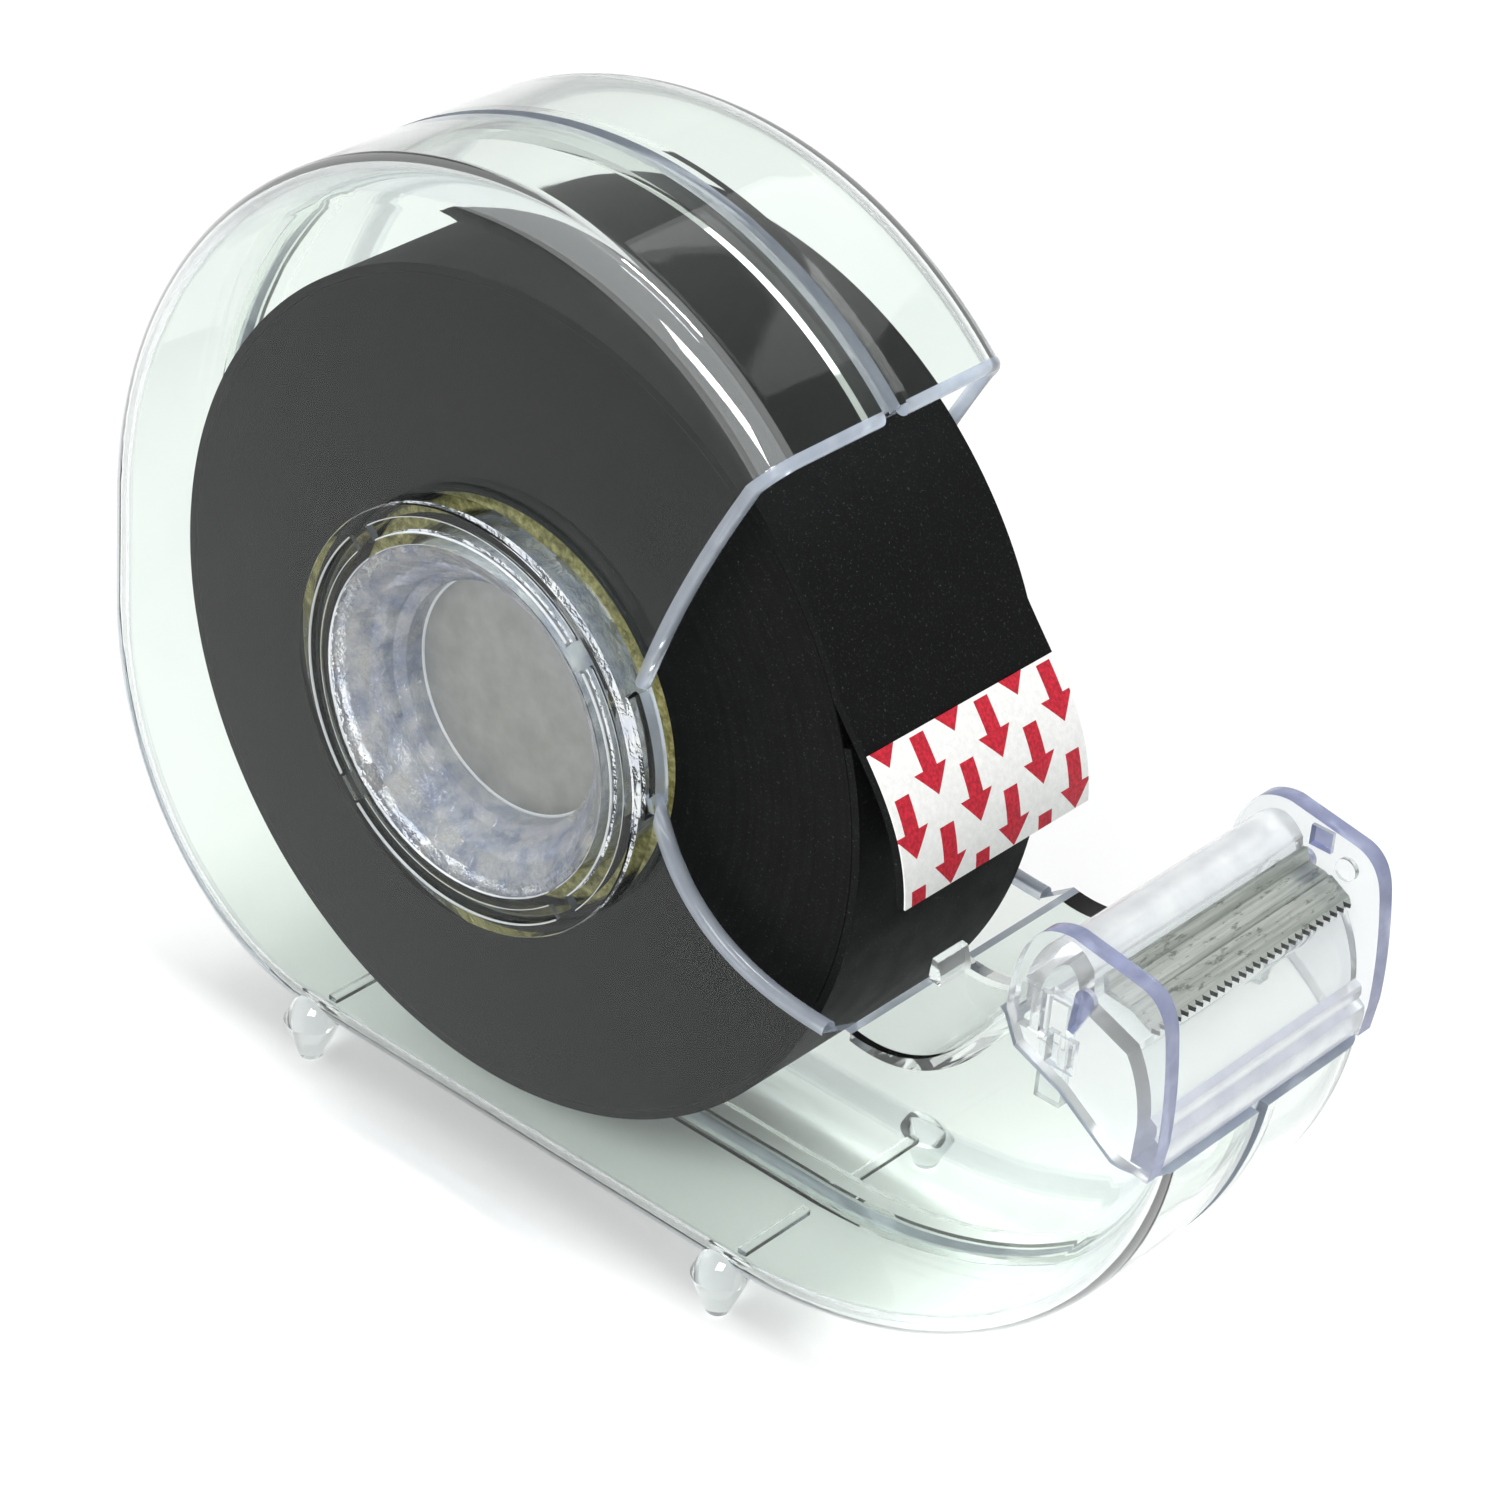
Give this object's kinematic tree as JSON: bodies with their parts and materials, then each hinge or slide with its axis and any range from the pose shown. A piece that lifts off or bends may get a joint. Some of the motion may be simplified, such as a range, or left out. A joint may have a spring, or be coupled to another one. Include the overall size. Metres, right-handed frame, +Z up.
{
  "type": "tape dispenser",
  "caption": "Clear hand dispenser made as two half-shells with a clipped nose, a toothed steel blade and a roll of magnetic tape on a cardboard core.",
  "frame": {"origin": "middle of the footprint, on the plane that the feet stand on", "axes": "+X towards the nose and blade, +Y to the left half-shell, +Z up; the hub axis is parallel to Y"},
  "size_m": [0.0961, 0.0284, 0.0753],
  "materials": {
    "clear_shell": "clear moulded plastic, glossy",
    "clear_nose": "clear moulded plastic, glossy",
    "blade_steel": "bright rolled strip",
    "core_board": "wound cardboard, matte",
    "magnetic_tape": "filled magnetic strip, satin",
    "liner_paper": "coated paper with red arrows"
  },
  "bodies": {
    "frame": {"left_shell": "clear_shell", "nose_head": "clear_nose", "cutter_blade": "blade_steel"},
    "cover": {"right_shell": "clear_shell"},
    "roll": {"tape_core": "core_board", "tape_roll": "magnetic_tape"},
    "lead": {"tape_lead": "magnetic_tape", "liner_tab": "liner_paper"}
  },
  "joints": [
    {"name": "roll_spin", "type": "hinge", "parent": "frame", "child": "roll", "pos_m": [-0.00975, 0, 0.0373], "axis": [0, 1, 0], "continuous": true},
    {"name": "cover_pull", "type": "slide", "parent": "frame", "child": "cover", "axis": [0, -1, 0], "range_m": [0, 0.025]},
    {"name": "lead_swing", "type": "hinge", "parent": "frame", "child": "lead", "pos_m": [-0.00975, 0, 0.0373], "axis": [0, -1, 0], "range_deg": [-6, 20]}
  ]
}
